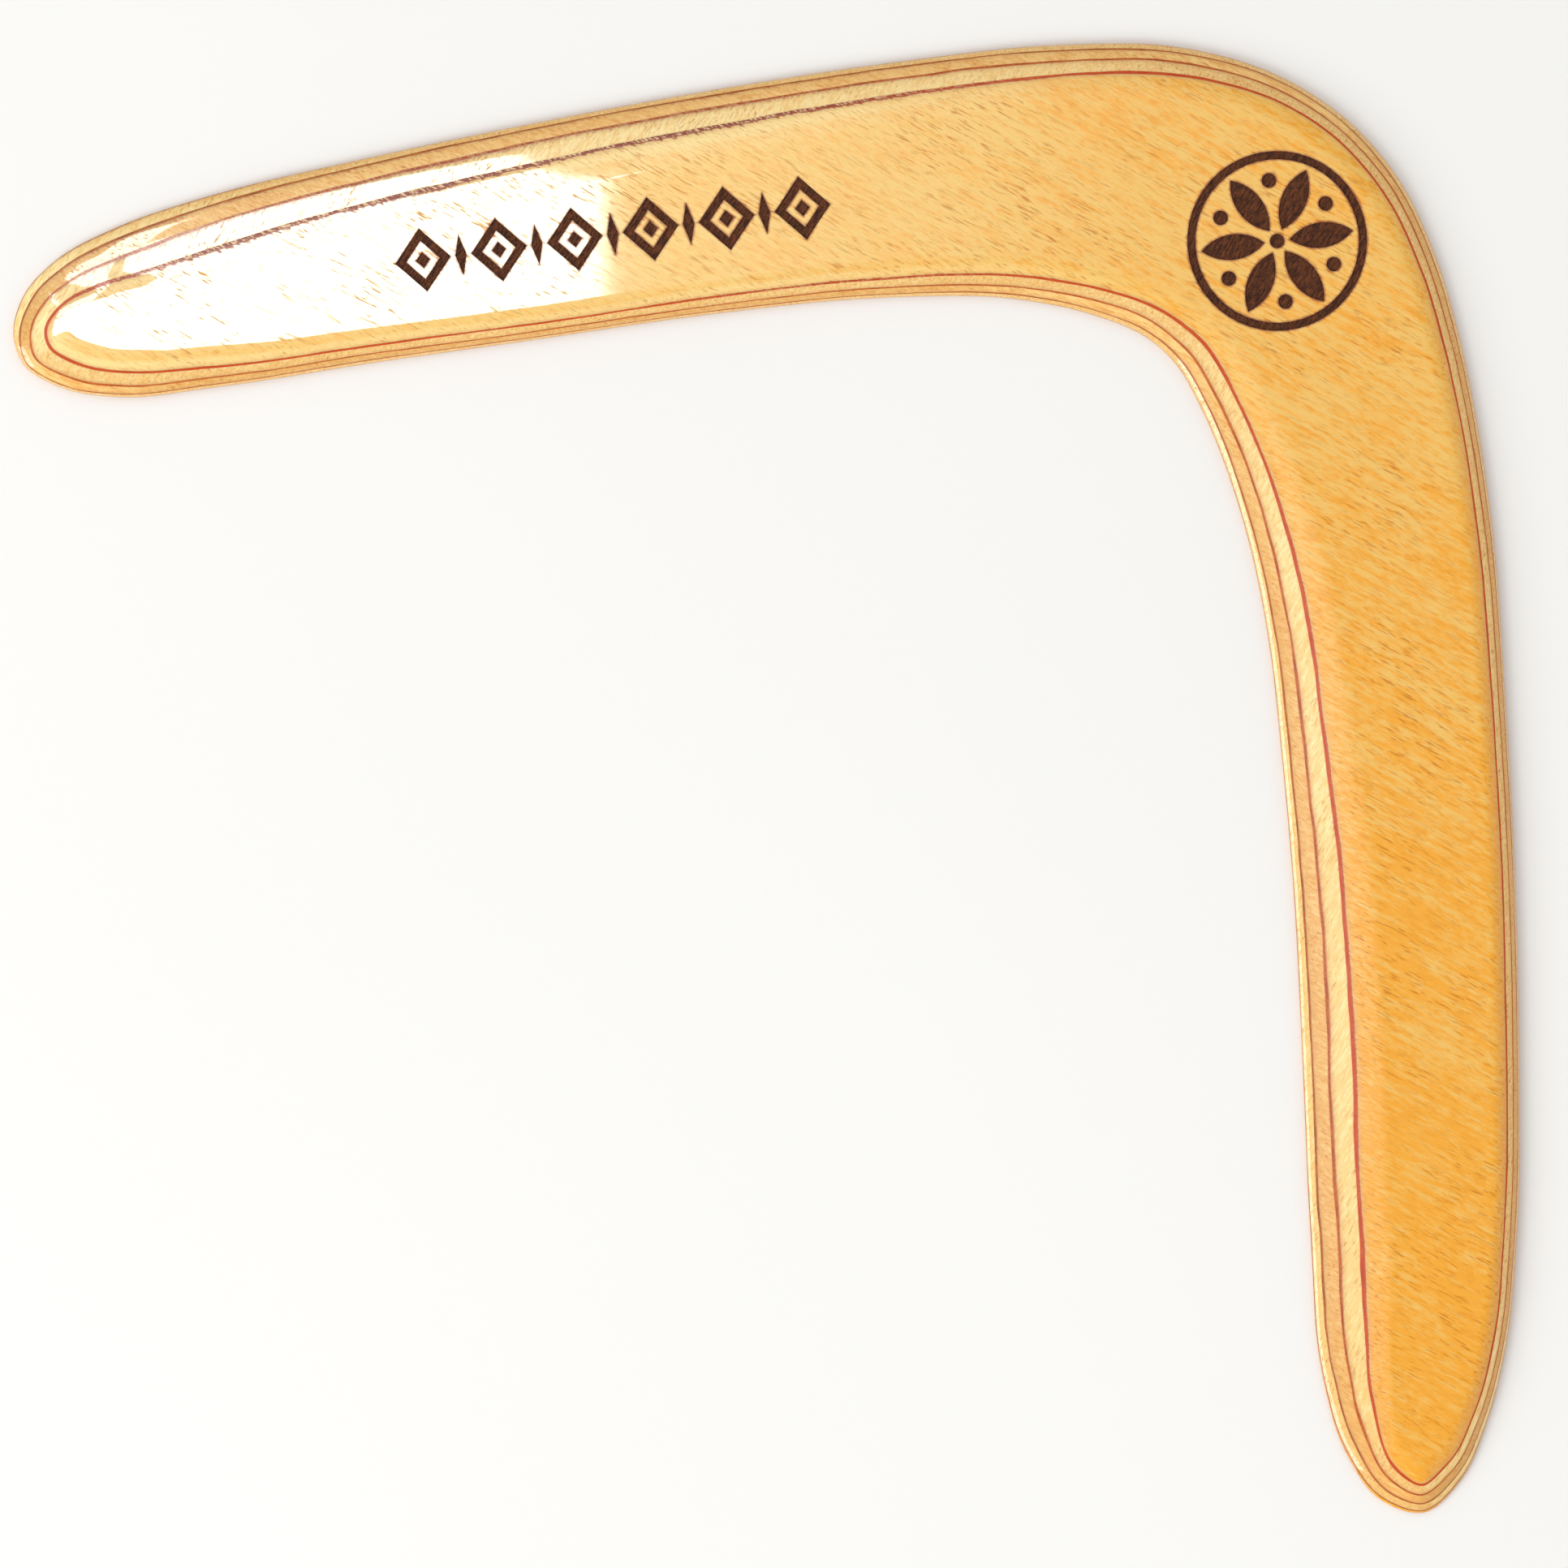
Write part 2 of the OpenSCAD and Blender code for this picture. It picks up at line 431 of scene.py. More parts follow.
@dataclass(frozen=True)
class Wood:
    """Peeled birch veneer under the lacquer.

    Attributes:
        name: The material's name.
        grain: Way of the grain.
        tones: Colours of the wood.
        pore: Colour of the pores.
        rim: Colour of the painted shade on the near-upright rim.
        margin: Dull colour beside a glue line.
        painted_glare: Pale colour towards the lift tip, most of all on the crown: a painted reflection of
            the window's glare.
        glue: Colour that a glue line bleeds into torn fibres.
        burnt: Colour of the scorched wood around a mark.
        pores: Strength of the pores.
        wood_and_light_deepening: Share by which the colour gets deeper towards the dingle tip, partly the
            wood's own tone and partly painted light.
        bleeding: Strength of the glue's colour in the wood beside a glue line.
        painted_glare_strength: Strength of that painted reflection.
        burning: Strength of the scorched colour.
        figure: Sizes of its markings.
        lacquer: The lacquer.
    """

    name: str
    grain: Grain
    tones: Tones
    pore: Colour = tone(182, 98, 12)
    rim: Colour = tone(176, 98, 38)
    margin: Colour = tone(208, 160, 100)
    painted_glare: Colour = tone(252, 224, 150)
    glue: Colour = tone(176, 58, 14)
    burnt: Colour = tone(150, 72, 34)
    pores: float = 0.66
    wood_and_light_deepening: float = 0.5
    bleeding: float = 0.9
    painted_glare_strength: float = 0.0
    burning: float = 0.85
    figure: Figure = Figure()
    lacquer: Lacquer = Lacquer()

    def material(self) -> Material:
        """Builds the material.

        Returns:
            The material.
        """
        shader = Shader(self.name)
        place = Place(shader)
        along = place.turned(self.grain.value)
        fibre = shader.noise(along, self.figure.fibre, 3, 0.65)
        mottle = shader.noise(place.in_mm, self.figure.mottle, 3, 0.6)
        cloud = shader.noise(along, self.figure.cloud, 3, 0.55)
        streak = shader.noise(along, self.figure.streak, 3, 0.6)
        pitted = self.pitted(shader, along, fibre)
        bands = cloud - 0.5 + (streak - 0.5) * 2.25 + (fibre - 0.5) * 2.75 + (mottle - 0.5) * 0.75
        bled = self.bled(shader, place, fibre)
        soot = (shader.attribute("scorch") + (fibre - 0.5) * 0.7 + (mottle - 0.5) * 0.4).ramp(0.4, 1.0)

        colour = self.banded_with_painted_light(shader, place, bands)
        colour = self.end_grain_and_rim_shade(shader, place, colour)
        colour = shader.mixed(colour, self.pore, pitted * self.pores)
        colour = self.glued(shader, place, colour, fibre, bled)
        colour = shader.mixed(colour, self.burnt, soot * self.burning)
        gloss = (1 - pitted * 1.5 - soot * 0.5 - bled * place.torn()).larger(self.lacquer.least)
        return shader.finished(
            {
                "Base Color": colour,
                "Roughness": self.lacquer.roughness + pitted * self.lacquer.worn + soot * 0.3,
                "Specular IOR Level": self.lacquer.sheen,
                "Coat Weight": self.lacquer.coat * gloss,
                "Coat Roughness": self.lacquer.coat_roughness,
                "Coat IOR": self.lacquer.ior,
                "Normal": self.raised(shader, place, fibre - pitted * 0.3),
            }
        )

    def pitted(self, shader: Shader, along: Socket, fibre: Field) -> Field:
        """Open pores: scattered dashes and flecks along the grain, and the coarsest fibres.

        Args:
            shader: The shader.
            along: Coordinates whose X runs along the grain.
            fibre: Noise that runs along the grain.

        Returns:
            The share of the pores' colour.
        """
        fleck = shader.noise(along, self.figure.fleck, 2, 0.5)
        distance, chance = shader.cells(along, self.figure.dash)
        patchy = shader.noise(along, self.figure.patch, 2, 0.5).ramp(0.36, 0.64)
        dash = distance.ramp(0.28, 0.1) * chance.ramp(0.8, 0.98)
        open_pores = (fleck.ramp(0.54, 0.72) * (0.4 + 0.6 * patchy)).larger(dash * (0.2 + 0.6 * patchy))
        return open_pores.larger(fibre.ramp(0.5, 0.8) * 0.4)

    def raised(self, shader: Shader, place: Place, fibres: Field) -> Socket:
        """Normal of the lacquer, with its orange peel and the fibres that stand up under it.

        Args:
            shader: The shader.
            place: Coordinates.
            fibres: Height of the fibres.

        Returns:
            The normal.
        """
        peel = shader.noise(place.in_mm, self.figure.peel, 1, 0.4)
        wave = shader.noise(place.in_mm, self.figure.wave, 1, 0.4)
        rippled = shader.bump(peel + wave * 9, self.lacquer.ripple)
        return shader.bump(fibres, self.lacquer.relief, rippled)

    def banded_with_painted_light(self, shader: Shader, place: Place, bands: Field) -> Socket:
        """Wood colour with its bands, deeper towards the dingle tip (partly the wood's own tone, partly
        painted light) and paler towards the lift tip (painted reflection).

        Args:
            shader: The shader.
            place: Coordinates.
            bands: The wood's bands, around 0.

        Returns:
            The colour.
        """
        # Partly painted light: the colour deepens towards the dingle tip, partly from the wood's own tone
        # and partly from light.
        deeper = place.y.ramp(100, -60) * self.wood_and_light_deepening
        colour = shader.mixed(self.tones.light, self.tones.deep, (bands + deeper + 0.28).ramp(-0.15, 1.05))
        crown = shader.attribute("lift").ramp(0.95, 0.45)
        # Painted reflection: paler colour over the lift arm, strongest on the crown, standing in for the
        # window's glare on the lacquer.
        painted_glare = crown.larger(0.45) * place.x.ramp(90, -10) * self.painted_glare_strength
        return shader.mixed(colour, self.painted_glare, painted_glare)

    def end_grain_and_rim_shade(self, shader: Shader, place: Place, colour: Socket) -> Socket:
        """Darkens the wood where fibres end at the surface, and paints shade on the near-upright rim.

        Args:
            shader: The shader.
            place: Coordinates.
            colour: The wood's colour.

        Returns:
            The colour.
        """
        angle = math.radians(self.grain.value)
        ends = abs(place.facing((math.cos(angle), math.sin(angle), 0.0))).ramp(0.08, 0.46)
        grit = shader.noise(place.in_mm, (0.5, 0.5, 0.3), 2, 0.6)
        colour = shader.mixed(colour, self.tones.end, ends * (0.55 + 1.6 * (grit - 0.42)))
        # Painted shade: the near-upright rim is darkened towards the rim colour, standing in for the shade
        # that falls on it.
        painted_rim_shade = abs(place.facing((0.0, 0.0, 1.0))).ramp(0.5, 0.05)
        return shader.mixed(colour, self.rim, painted_rim_shade * 0.75)

    def bled(self, shader: Shader, place: Place, fibre: Field) -> Field:
        """Share of the glue's colour in the wood beside the glue lines.

        Args:
            shader: The shader.
            place: Coordinates.
            fibre: Noise that runs along the grain.

        Returns:
            The share.
        """
        lift, drop = shader.attribute("lift"), shader.attribute("drop")
        reach = 0.08 + (fibre - 0.47).larger(0.0) * (0.12 + place.torn() * 1.1)
        return (lift / reach).ramp(1.0, 0.35).larger(drop.ramp(0.07, 0.01) * 0.5) * self.bleeding

    def glued(self, shader: Shader, place: Place, colour: Socket, fibre: Field, bled: Field) -> Socket:
        """Draws the glue's colour into the wood beside the glue lines.

        Args:
            shader: The shader.
            place: Coordinates.
            colour: The wood's colour.
            fibre: Noise that runs along the grain.
            bled: Share of the glue's colour.

        Returns:
            The colour.
        """
        dull = shader.attribute("lift").ramp(0.34, 0.05) * (0.5 + (fibre - 0.5) * 0.8)
        glue = shader.mixed(self.glue, BRUISED, place.torn() * 0.7)
        return shader.mixed(shader.mixed(colour, self.margin, dull), glue, bled)


@dataclass(frozen=True)
class Glue:
    """Red-brown resin glue, seen edge on through the lacquer.

    Attributes:
        name: The material's name.
        dark: Colour of the thick places.
        warm: Colour of the thin places.
        strand: Colour of the pale fibres that tear across it.
        fray: Share of the torn area that such fibres cover.
    """

    name: str
    dark: Colour
    warm: Colour
    strand: Colour = tone(236, 200, 150)
    fray: float = 0.0

    def material(self) -> Material:
        """Builds the material.

        Returns:
            The material.
        """
        shader = Shader(self.name)
        place = Place(shader)
        patch = shader.noise(place.in_mm, (3.5, 3.5, 1), 3, 0.6)
        speck = shader.noise(place.in_mm, (0.5, 0.5, 0.2), 2, 0.6)
        colour = shader.mixed(self.dark, self.warm, (patch * 0.8 + speck * 0.5).ramp(0.4, 0.9))
        colour = shader.mixed(colour, BRUISED, place.torn() * self.fray)
        strands = shader.noise(place.turned(Grain.ALONG.value), (2.4, 0.36, 0.36), 2, 0.6)
        colour = shader.mixed(colour, self.strand, strands.ramp(0.48, 0.6) * place.torn() * self.fray)
        return shader.finished(
            {
                "Base Color": colour,
                "Roughness": 0.25 + speck * 0.15,
                "Specular IOR Level": 0.1,
                "Coat Weight": 0.35 - place.torn() * self.fray * 0.4,
                "Coat Roughness": 0.05,
                "Normal": shader.bump(speck, 0.00001),
            }
        )


@dataclass(frozen=True)
class Char:
    """Floor of the burnt marks: charred wood with the fine lines of the laser.

    Attributes:
        name: The material's name.
        dark: Colour of the char.
        warm: Colour of the less burnt ridges.
        line: Distance between the laser's lines in millimetres.
        slope: Way of the lines in degrees from +X.
    """

    name: str
    dark: Colour = tone(46, 18, 4)
    warm: Colour = tone(118, 64, 30)
    line: float = 0.3
    slope: float = 60.0

    def material(self) -> Material:
        """Builds the material.

        Returns:
            The material.
        """
        shader = Shader(self.name)
        place = Place(shader)
        lines = shader.noise(place.turned(self.slope), (1.6, self.line, 1), 2, 0.6)
        grit = shader.noise(place.in_mm, (0.35, 0.35, 0.35), 2, 0.6)
        share = (lines * 0.8 + grit * 0.5).ramp(0.45, 0.95)
        return shader.finished(
            {
                "Base Color": shader.mixed(self.dark, self.warm, share),
                "Roughness": 0.7 + grit * 0.2,
                "Specular IOR Level": 0.08,
                "Normal": shader.bump(lines + grit * 0.6, 0.00008),
            }
        )


# ---------------------------------------------------------------- shape


def level_loops(node: bpy.types.Object) -> list[Points]:
    """Finds the level rings on the slopes of a CAD node.

    Each triangle of a slope has one level edge, and those edges close into rings.

    Args:
        node: The CAD node's object.

    Returns:
        The rings, each a row of points in metres.
    """
    shape = bmesh.new()
    shape.from_mesh(node.data)
    bmesh.ops.remove_doubles(shape, verts=shape.verts, dist=WELD)
    beside: dict[int, list[int]] = {}
    for edge in shape.edges:
        one, two = edge.verts
        heights = [[corner.co.z for corner in face.verts] for face in edge.link_faces]
        sloping = any(max(face) - min(face) > WELD for face in heights)
        if sloping and abs(one.co.z - two.co.z) < WELD:
            beside.setdefault(one.index, []).append(two.index)
            beside.setdefault(two.index, []).append(one.index)
    places = np.array([v.co for v in shape.verts])
    shape.free()
    loops, seen = [], set()
    for start in beside:
        ring, here = [], start
        while here is not None and here not in seen:
            seen.add(here)
            ring.append(here)
            here = next((other for other in beside[here] if other not in seen), None)
        if len(ring) > 2:
            loops.append(places[ring])
    return loops


def from_tip(ring: Points) -> Points:
    """Starts a ring at its point of lowest X and turns it anticlockwise as seen from above.

    Args:
        ring: The ring's points.

    Returns:
        The same points, from there on.
    """
    x, y = ring[:, 0], ring[:, 1]
    doubled_area = np.sum(x * np.roll(y, -1) - y * np.roll(x, -1))
    turned = ring if doubled_area > 0 else ring[::-1]
    return np.roll(turned, -int(np.argmin(turned[:, 0])), axis=0)


def lined_up(ring: Points, guide: Points) -> Points:
    """Starts and turns a closed ring so that its points lie beside the guide's points."""
    options = [np.roll(way, -start, axis=0) for way in (ring, ring[::-1]) for start in range(len(ring))]
    return min(options, key=lambda option: float(np.sum((option[:, :2] - guide[:, :2]) ** 2)))


def plan_tree(points: Points) -> KDTree:
    """Tree of the points as seen from above, which finds the nearest one to a place.

    Args:
        points: The points.

    Returns:
        The tree.
    """
    tree = KDTree(len(points))
    for number, (x, y, _) in enumerate(points):
        tree.insert((x, y, 0), number)
    tree.balance()
    return tree


def hermite(values: Points, slopes: Points, gaps: Points, parts: int, closed: bool) -> Points:
    """Smooth curve through the values along the first axis.

    Args:
        values: Values at the knots.
        slopes: Rates of change at the knots.
        gaps: Distance from each knot to the next.
        parts: Steps from a knot to the next.
        closed: True for a ring.

    Returns:
        The values at each step.
    """
    shape = (-1,) + (1,) * (values.ndim - 1)
    after = np.roll(values, -1, axis=0) if closed else values[1:]
    after_slopes = np.roll(slopes, -1, axis=0) if closed else slopes[1:]
    before = values if closed else values[:-1]
    before_slopes = slopes if closed else slopes[:-1]
    width = gaps.reshape(shape)
    rows = []
    for part in range(parts):
        u = part / parts
        rows.append(
            before * (2 * u**3 - 3 * u**2 + 1)
            + after * (3 * u**2 - 2 * u**3)
            + before_slopes * width * (u**3 - 2 * u**2 + u)
            + after_slopes * width * (u**3 - u**2)
        )
    fine = np.stack(rows, axis=1).reshape((-1,) + values.shape[1:])
    return fine if closed else np.concatenate([fine, values[-1:]])


def round_slopes(values: Points, gaps: Points) -> Points:
    """Slopes at the knots of the smoothest ring through the values.

    Args:
        values: Values at the knots, one row a knot.
        gaps: Distance from each knot to the next.

    Returns:
        The slopes.
    """
    count = len(values)
    before = np.roll(gaps, 1)
    matrix = np.diag(2 / before + 2 / gaps)
    for knot in range(count):
        matrix[knot, knot - 1] += 1 / before[knot]
        matrix[knot, (knot + 1) % count] += 1 / gaps[knot]
    pull = (np.roll(values, -1, axis=0) - values) / gaps[:, None] ** 2
    return np.linalg.solve(matrix, 3 * (pull + np.roll(pull, 1, axis=0)))


def steady_slopes(values: Points, gaps: Points) -> Points:
    """Slopes that keep an open curve from swinging past its values.

    Args:
        values: Values at the knots, along the first axis.
        gaps: Distance from each knot to the next.

    Returns:
        The slopes.
    """
    width = gaps.reshape((-1,) + (1,) * (values.ndim - 1))
    rates = np.diff(values, axis=0) / width
    first, second = rates[:-1], rates[1:]
    low, high = 2 * width[1:] + width[:-1], width[1:] + 2 * width[:-1]
    same_way = first * second > 0
    safe_first, safe_second = np.where(same_way, first, 1), np.where(same_way, second, 1)
    inner = np.where(same_way, (low + high) / (low / safe_first + high / safe_second), 0)
    return np.concatenate([rates[:1], inner, rates[-1:]])


class Skin:
    """The whole boomerang's smooth outside, from the underside up to the flat of the face.

    It is laid through the level rings of the CAD nodes, so each veneer's edge lies on it.
    """

    def __init__(self, nodes: dict[str, bpy.types.Object], along: int = 6, up: int = 8) -> None:
        """Reads the rings and lays the skin through them.

        Args:
            nodes: The CAD nodes by name.
            along: Steps from one CAD point of a ring to the next.
            up: Steps from one CAD ring to the next.
        """
        self.up = up
        rings: dict[int, Points] = {}
        small: list[Points] = []
        for node in nodes.values():
            for ring in level_loops(node):
                wide = np.ptp(ring[:, 0]) > 0.5 * (cad_box[1].x - cad_box[0].x)
                if wide:
                    rings.setdefault(round(ring[0, 2] / WELD), ring)
                else:
                    small.append(ring)
        ordered = [rings[key] for key in sorted(rings)]
        self.floors = [ring for ring in small if ring[0, 2] < cad_box[1].z - WELD]
        ordered[0] = from_tip(ordered[0])
        for place in range(1, len(ordered)):
            ordered[place] = lined_up(ordered[place], ordered[place - 1])
        stack = np.array(ordered)
        gaps = np.linalg.norm(np.roll(stack[1], -1, axis=0) - stack[1], axis=1)
        flat = stack.transpose(1, 0, 2).reshape(stack.shape[1], -1)
        fine = hermite(flat, round_slopes(flat, gaps), gaps, along, True)
        stack = fine.reshape(len(fine), len(ordered), 3).transpose(1, 0, 2)
        steps = np.linalg.norm(np.diff(stack, axis=0), axis=2).mean(axis=1)
        slopes = steady_slopes(stack, steps)
        slopes[-1, :, 2] = 0
        grid = hermite(stack, slopes, steps, up, False)
        self.grid = np.clip(grid, np.array(cad_box[0]), np.array(cad_box[1]))
        self.heights = self.grid[:, 0, 2]
        around = np.roll(self.grid, -1, axis=1) - np.roll(self.grid, 1, axis=1)
        upward = np.gradient(self.grid, axis=0)
        normals = np.cross(around, upward)
        self.normals = normals / np.linalg.norm(normals, axis=2, keepdims=True)
        self.normals[-1] = (0, 0, 1)
        self.count = self.grid.shape[1]
        lengths = np.linalg.norm(np.diff(self.grid[self.up], axis=0, append=self.grid[self.up][:1]), axis=1)
        self.perimeter = float(lengths.sum())
        self.turn = 2 * math.pi * np.cumsum(lengths) / self.perimeter

    def ring(self, heights: Points) -> tuple[Points, Points]:
        """Points and normals of the skin at a height for each place around it.

        Args:
            heights: The height at each place.

        Returns:
            The points and the normals.
        """
        rows = np.interp(heights, self.heights, np.arange(len(self.heights)))
        low = np.minimum(rows.astype(int), len(self.heights) - 2)
        share = (rows - low)[:, None]
        place = np.arange(self.count)
        points = self.grid[low, place] * (1 - share) + self.grid[low + 1, place] * share
        normals = self.normals[low, place] * (1 - share) + self.normals[low + 1, place] * share
        normals /= np.linalg.norm(normals, axis=1, keepdims=True)
        return points, normals

    def wander(self, seed: int, size: float) -> Points:
        """Heights that wander gently around the skin, as a hand-sanded glue line does.

        Args:
            seed: Seed of the random waves.
            size: Usual size of the heights.

        Returns:
            A height for each place around the skin.
        """
        rng = np.random.default_rng(seed)
        total = np.zeros(self.count)
        for _ in range(WAVES):
            length = math.exp(rng.uniform(math.log(SHORTEST_WAVE), math.log(LONGEST_WAVE)))
            turns = round(self.perimeter / length)
            total += math.sqrt(length) * np.sin(turns * self.turn + rng.uniform(0, 2 * math.pi))
        return total * size / total.std()


class Mesh:
    """Collects the points, faces, normals and named numbers of one piece."""

    def __init__(self) -> None:
        """Starts an empty mesh."""
        self.points: list[Sequence[float]] = []
        self.faces: list[tuple[int, ...]] = []
        self.corners: list[Sequence[float]] = []
        self.finishes: list[int] = []
        self.numbers: dict[str, list[float]] = {"lift": [], "drop": [], "scorch": []}

    def add_points(self, points: Points, **numbers: Points | float) -> int:
        """Adds points with their named numbers.

        Args:
            points: The points, one row each.
            numbers: A number or a row of numbers by name, and 1 for those not given.

        Returns:
            The place of the first point.
        """
        first = len(self.points)
        self.points.extend(points.tolist())
        for name, values in self.numbers.items():
            given = numbers.get(name, 0.0 if name == "scorch" else 1.0)
            values.extend(np.broadcast_to(given, len(points)).tolist())
        return first

    def add_face(self, face: Sequence[int], normals: Sequence[Sequence[float]], finish: int = 0) -> None:
        """Adds a face with one normal a corner.

        Args:
            face: Places of its points.
            normals: The normals, or one for all.
            finish: Place of its material.
        """
        self.faces.append(tuple(face))
        self.corners.extend(normals if len(normals) == len(face) else [normals[0]] * len(face))
        self.finishes.append(finish)

    def built(self, name: str, materials: Sequence[Material]) -> bpy.types.Object:
        """Makes the piece's object.

        Args:
            name: Its name.
            materials: Its materials.

        Returns:
            The object.
        """
        data = bpy.data.meshes.new(name)
        data.from_pydata(self.points, [], self.faces)
        for material in materials:
            data.materials.append(material)
        data.polygons.foreach_set("material_index", self.finishes)
        data.polygons.foreach_set("use_smooth", [True] * len(self.faces))
        for attribute, values in self.numbers.items():
            data.attributes.new(attribute, "FLOAT", "POINT").data.foreach_set("value", values)
        data.update()
        data.normals_split_custom_set(self.corners)
        made = bpy.data.objects.new(name, data)
        bpy.context.scene.collection.objects.link(made)
        return made


@dataclass
class Interface:
    """The place of a glue film's faces all around, with the wander of both.

    Attributes:
        low: Height of its lower face around the skin.
        high: Height of its upper face around the skin.
    """

    low: Points
    high: Points


@dataclass
class Layer:
    """One sheet of the plywood, between two glue films or at the outside.

    Attributes:
        node: The CAD node that it stands for.
        slot: The record's material slot; not used.
        finish: Its finish.
        skin: The boomerang's outside.
        low: Height of its lower edge around the skin.
        high: Height of its upper edge around the skin.
        rings: Steps from its lower to its upper edge.
        rungs: Steps across a cap that shows.
        glued_below: True if a glue film lies under it.
        glued_above: True if a glue film lies on it.
    """

    node: str
    slot: str
    finish: Wood | Glue
    skin: Skin
    low: Points
    high: Points
    rings: int = 8
    rungs: int = 1
    glued_below: bool = True
    glued_above: bool = True

    def walls(self, mesh: Mesh) -> tuple[int, int]:
        """Adds the edge of the sheet, which shows on the bevel.

        Args:
            mesh: The mesh to add to.

        Returns:
            The place of the first point of the lowest and of the highest ring.
        """
        count = self.skin.count
        firsts, normals = [], []
        for share in self.shares():
            heights = self.low * (1 - share) + self.high * share
            points, normal = self.skin.ring(heights)
            lift = (heights - self.low) / MM if self.glued_below else 1.0
            drop = (self.high - heights) / MM if self.glued_above else 1.0
            firsts.append(mesh.add_points(points, lift=lift, drop=drop))
            normals.append(normal.tolist())
        for row in range(len(firsts) - 1):
            for place in range(count):
                after = (place + 1) % count
                corners = ((row, place), (row, after), (row + 1, after), (row + 1, place))
                mesh.add_face(
                    [firsts[level] + spot for level, spot in corners],
                    [normals[level][spot] for level, spot in corners],
                )
        return firsts[0], firsts[-1]

    def shares(self) -> list[float]:
        """Places of the rings, from 0 at the lower edge to 1 at the upper."""
        return [step / self.rings for step in range(self.rings + 1)]

    def cap(self, mesh: Mesh, first: int, up: bool, rungs: int) -> None:
        """Closes a ring with a ladder of faces from rim to rim.

        Args:
            mesh: The mesh to add to.
            first: Place of the ring's first point.
            up: True if the cap looks up.
            rungs: Steps across the arm.
        """
        count = self.skin.count
        half = count // 2
        rows: list[list[int]] = [[first]]
        ring = np.array(mesh.points[first:first + count])
        for place in range(1, half):
            start, end = ring[place], ring[count - place]
            inner = [start + (end - start) * step / rungs for step in range(1, rungs)]
            made = mesh.add_points(np.array(inner)) if inner else 0
            rows.append([first + place, *range(made, made + rungs - 1), first + count - place])
        rows.append([first + half])
        normal = [(0.0, 0.0, 1.0 if up else -1.0)]
        for here, after in zip(rows, rows[1:]):
            for step in range(rungs):
                corners = [
                    here[min(step, len(here) - 1)],
                    after[min(step, len(after) - 1)],
                    after[min(step + 1, len(after) - 1)],
                    here[min(step + 1, len(here) - 1)],
                ]
                face = list(dict.fromkeys(corners))
                mesh.add_face(face if up else face[::-1], normal)

    def build(self) -> bpy.types.Object:
        """Builds the sheet, dresses it and ties it to the frame.

        Returns:
            The piece.
        """
        mesh = Mesh()
        bottom, top = self.walls(mesh)
        self.cap(mesh, bottom, False, self.rungs)
        self.close(mesh, top)
        piece = mesh.built(self.node + "_sheet", self.materials())
        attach(piece, BODY)
        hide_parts(self.node)
        LOG.info("%s: %d faces", piece.name, len(mesh.faces))
        return piece

    def close(self, mesh: Mesh, top: int) -> None:
        """Closes the upper side, which another sheet covers."""
        self.cap(mesh, top, True, 1)

    def materials(self) -> list[Material]:
        """Materials of the piece in order."""
        return [self.finish.material()]


